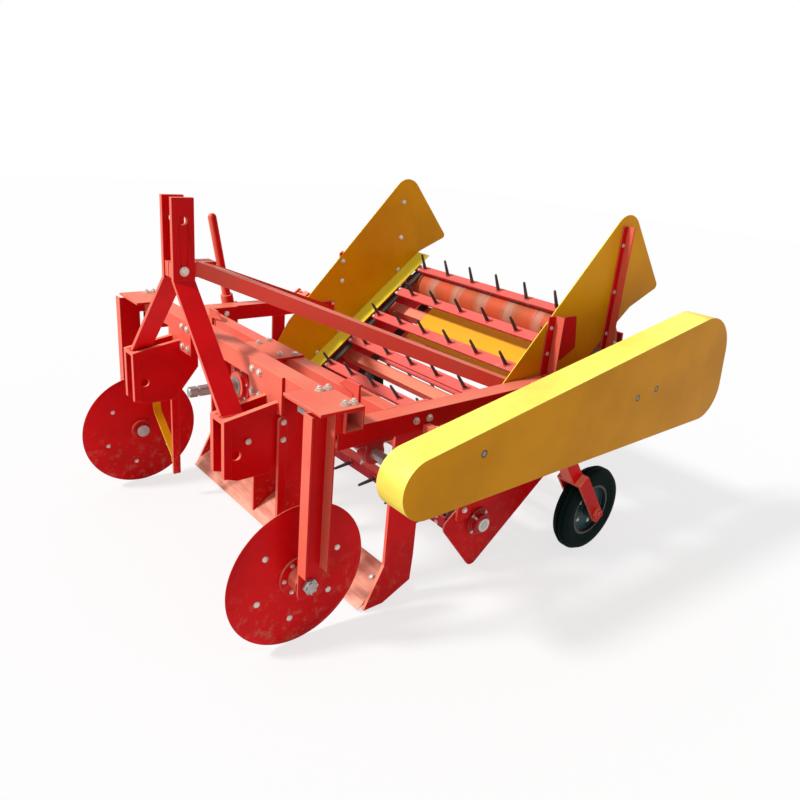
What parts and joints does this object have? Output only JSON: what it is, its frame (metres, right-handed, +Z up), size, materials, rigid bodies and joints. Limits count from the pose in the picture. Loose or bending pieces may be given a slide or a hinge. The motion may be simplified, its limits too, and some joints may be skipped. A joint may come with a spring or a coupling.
{
  "type": "groundnut digger",
  "caption": "Tractor-mounted digger with a full-width blade, coulter discs, a spiked slat elevator between side sheets, side belt drive, gauge wheels and a mast for three-point hitching.",
  "frame": {"origin": "on the ground under the middle of the machine's overall box", "axes": "+X the way the machine is pulled, +Y to its left side, +Z up"},
  "size_m": [1.8785, 1.7, 1.2243],
  "materials": {
    "red_paint": "gloss enamel",
    "yellow_paint": "gloss enamel",
    "spike_steel": "worn paint",
    "blade_steel": "earth-polished",
    "shaft_steel": "turned",
    "belt_rubber": "matte",
    "tyre_rubber": "matte",
    "rim_paint": "satin",
    "cast_housing": "painted casting"
  },
  "bodies": {
    "machine": {"cross_shaft": "shaft_steel", "cross_tube_lugs": "red_paint", "digging_blade": "blade_steel", "drive_belts": "belt_rubber", "drive_guard": "yellow_paint", "elevator_belts": "belt_rubber", "elevator_cross_tubes": "red_paint", "elevator_deck": "yellow_paint", "elevator_hangers": "red_paint", "elevator_pulley": "cast_housing", "front_beam": "red_paint", "front_pulley": "cast_housing", "gearbox": "red_paint", "gearbox_mount": "red_paint", "guard_arms": "red_paint", "inner_shanks": "red_paint", "input_shaft": "shaft_steel", "left_coulter_arm": "red_paint", "left_coulter_axle": "shaft_steel", "left_elevator_side": "red_paint", "left_hitch_bracket": "red_paint", "left_mast_bar": "red_paint", "left_mast_stay": "red_paint", "left_sheet_posts": "red_paint", "left_side_rail": "red_paint", "left_side_shank": "red_paint", "left_side_sheet": "yellow_paint", "left_wheel_fork": "red_paint", "lower_shaft": "shaft_steel", "mast_bolt": "shaft_steel", "mid_cross_tube": "red_paint", "right_coulter_arm": "red_paint", "right_coulter_axle": "shaft_steel", "right_elevator_side": "red_paint", "right_hitch_bracket": "red_paint", "right_mast_bar": "red_paint", "right_mast_stay": "red_paint", "right_sheet_posts": "red_paint", "right_side_rail": "red_paint", "right_side_shank": "red_paint", "right_side_sheet": "yellow_paint", "right_wheel_fork": "red_paint", "shaft_bearings": "cast_housing", "spiked_slats": "spike_steel", "stand_sleeve": "red_paint", "upper_shaft": "shaft_steel"},
    "left_coulter": {"left_coulter_disc": "red_paint"},
    "right_coulter": {"right_coulter_disc": "red_paint"},
    "left_wheel": {"left_gauge_rim": "rim_paint", "left_gauge_tyre": "tyre_rubber"},
    "right_wheel": {"right_gauge_rim": "rim_paint", "right_gauge_tyre": "tyre_rubber"},
    "parking_stand": {"parking_stand": "red_paint"}
  },
  "joints": [
    {"name": "left_coulter_spin", "type": "hinge", "parent": "machine", "child": "left_coulter", "pos_m": [0.71427, 0.544, 0.225], "axis": [0, 1, 0], "continuous": true},
    {"name": "right_coulter_spin", "type": "hinge", "parent": "machine", "child": "right_coulter", "pos_m": [0.71427, -0.644, 0.225], "axis": [0, 1, 0], "continuous": true},
    {"name": "left_wheel_spin", "type": "hinge", "parent": "machine", "child": "left_wheel", "pos_m": [-0.46927, 0.68, 0.165], "axis": [0, 1, 0], "continuous": true},
    {"name": "right_wheel_spin", "type": "hinge", "parent": "machine", "child": "right_wheel", "pos_m": [-0.46927, -0.78, 0.165], "axis": [0, 1, 0], "continuous": true},
    {"name": "parking_stand_slide", "type": "slide", "parent": "machine", "child": "parking_stand", "axis": [0.1908, 0, 0.9816], "range_m": [-0.33, 0]}
  ]
}
